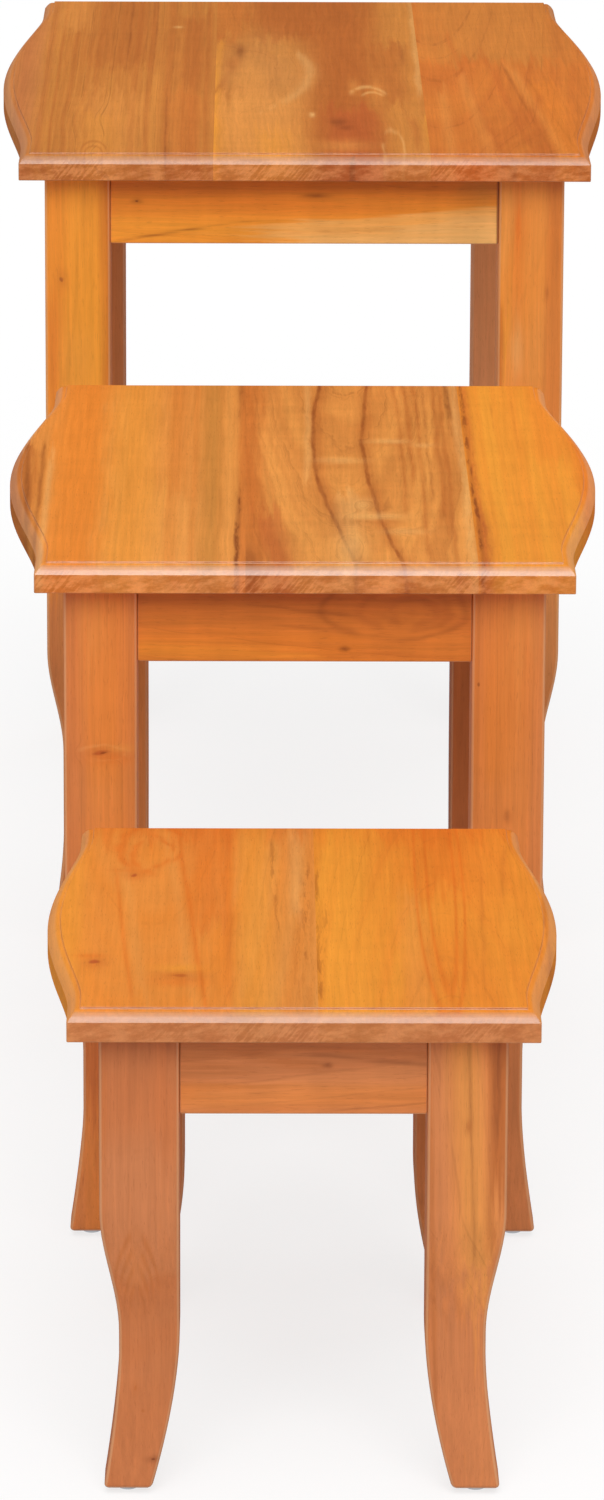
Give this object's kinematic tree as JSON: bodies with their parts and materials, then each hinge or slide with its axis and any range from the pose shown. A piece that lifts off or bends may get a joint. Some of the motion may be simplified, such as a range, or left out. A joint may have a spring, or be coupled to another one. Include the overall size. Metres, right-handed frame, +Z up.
{
  "type": "nest of tables",
  "caption": "Nest of wooden occasional tables with moulded bow-sided tops and curved legs, standing in a row by falling size.",
  "frame": {"origin": "on the floor, under the middle of the row of tables as pictured", "axes": "+Z up, +Y along the row from the small table to the large one, +X to the right seen from the small table's end"},
  "size_m": [0.424, 1.687, 0.56],
  "materials": {
    "top_wood": "clear satin lacquer on honey-orange hardwood",
    "leg_wood": "clear satin lacquer on red-brown hardwood",
    "apron_wood": "clear satin lacquer on red-brown hardwood",
    "block_wood": "plain sawn hardwood",
    "dowel_wood": "plain beech",
    "screw_steel": "zinc-plated steel",
    "glide_metal": "dull nickel-plated steel"
  },
  "bodies": {
    "large_table": {"large_left_board": "top_wood", "large_centre_board": "top_wood", "large_right_board": "top_wood", "large_front_left_leg": "leg_wood", "large_front_right_leg": "leg_wood", "large_back_left_leg": "leg_wood", "large_back_right_leg": "leg_wood", "large_front_apron": "apron_wood", "large_back_apron": "apron_wood", "large_left_apron": "apron_wood", "large_right_apron": "apron_wood", "large_corner_blocks": "block_wood", "large_block_screws": "screw_steel", "large_top_buttons": "block_wood", "large_button_screws": "screw_steel", "large_apron_dowels": "dowel_wood", "large_foot_glides": "glide_metal"},
    "medium_table": {"medium_left_board": "top_wood", "medium_centre_board": "top_wood", "medium_right_board": "top_wood", "medium_front_left_leg": "leg_wood", "medium_front_right_leg": "leg_wood", "medium_back_left_leg": "leg_wood", "medium_back_right_leg": "leg_wood", "medium_front_apron": "apron_wood", "medium_back_apron": "apron_wood", "medium_left_apron": "apron_wood", "medium_right_apron": "apron_wood", "medium_corner_blocks": "block_wood", "medium_block_screws": "screw_steel", "medium_top_buttons": "block_wood", "medium_button_screws": "screw_steel", "medium_apron_dowels": "dowel_wood", "medium_foot_glides": "glide_metal"},
    "small_table": {"small_left_board": "top_wood", "small_right_board": "top_wood", "small_front_left_leg": "leg_wood", "small_front_right_leg": "leg_wood", "small_back_left_leg": "leg_wood", "small_back_right_leg": "leg_wood", "small_front_apron": "apron_wood", "small_back_apron": "apron_wood", "small_left_apron": "apron_wood", "small_right_apron": "apron_wood", "small_corner_blocks": "block_wood", "small_block_screws": "screw_steel", "small_top_buttons": "block_wood", "small_button_screws": "screw_steel", "small_apron_dowels": "dowel_wood", "small_foot_glides": "glide_metal"}
  },
  "joints": [
    {"name": "medium_table_slide", "type": "slide", "parent": "large_table", "child": "medium_table", "axis": [1, 0, 0], "range_m": [-0.4, 0.4]},
    {"name": "small_table_slide", "type": "slide", "parent": "large_table", "child": "small_table", "axis": [1, 0, 0], "range_m": [-0.33, 0.33]}
  ]
}
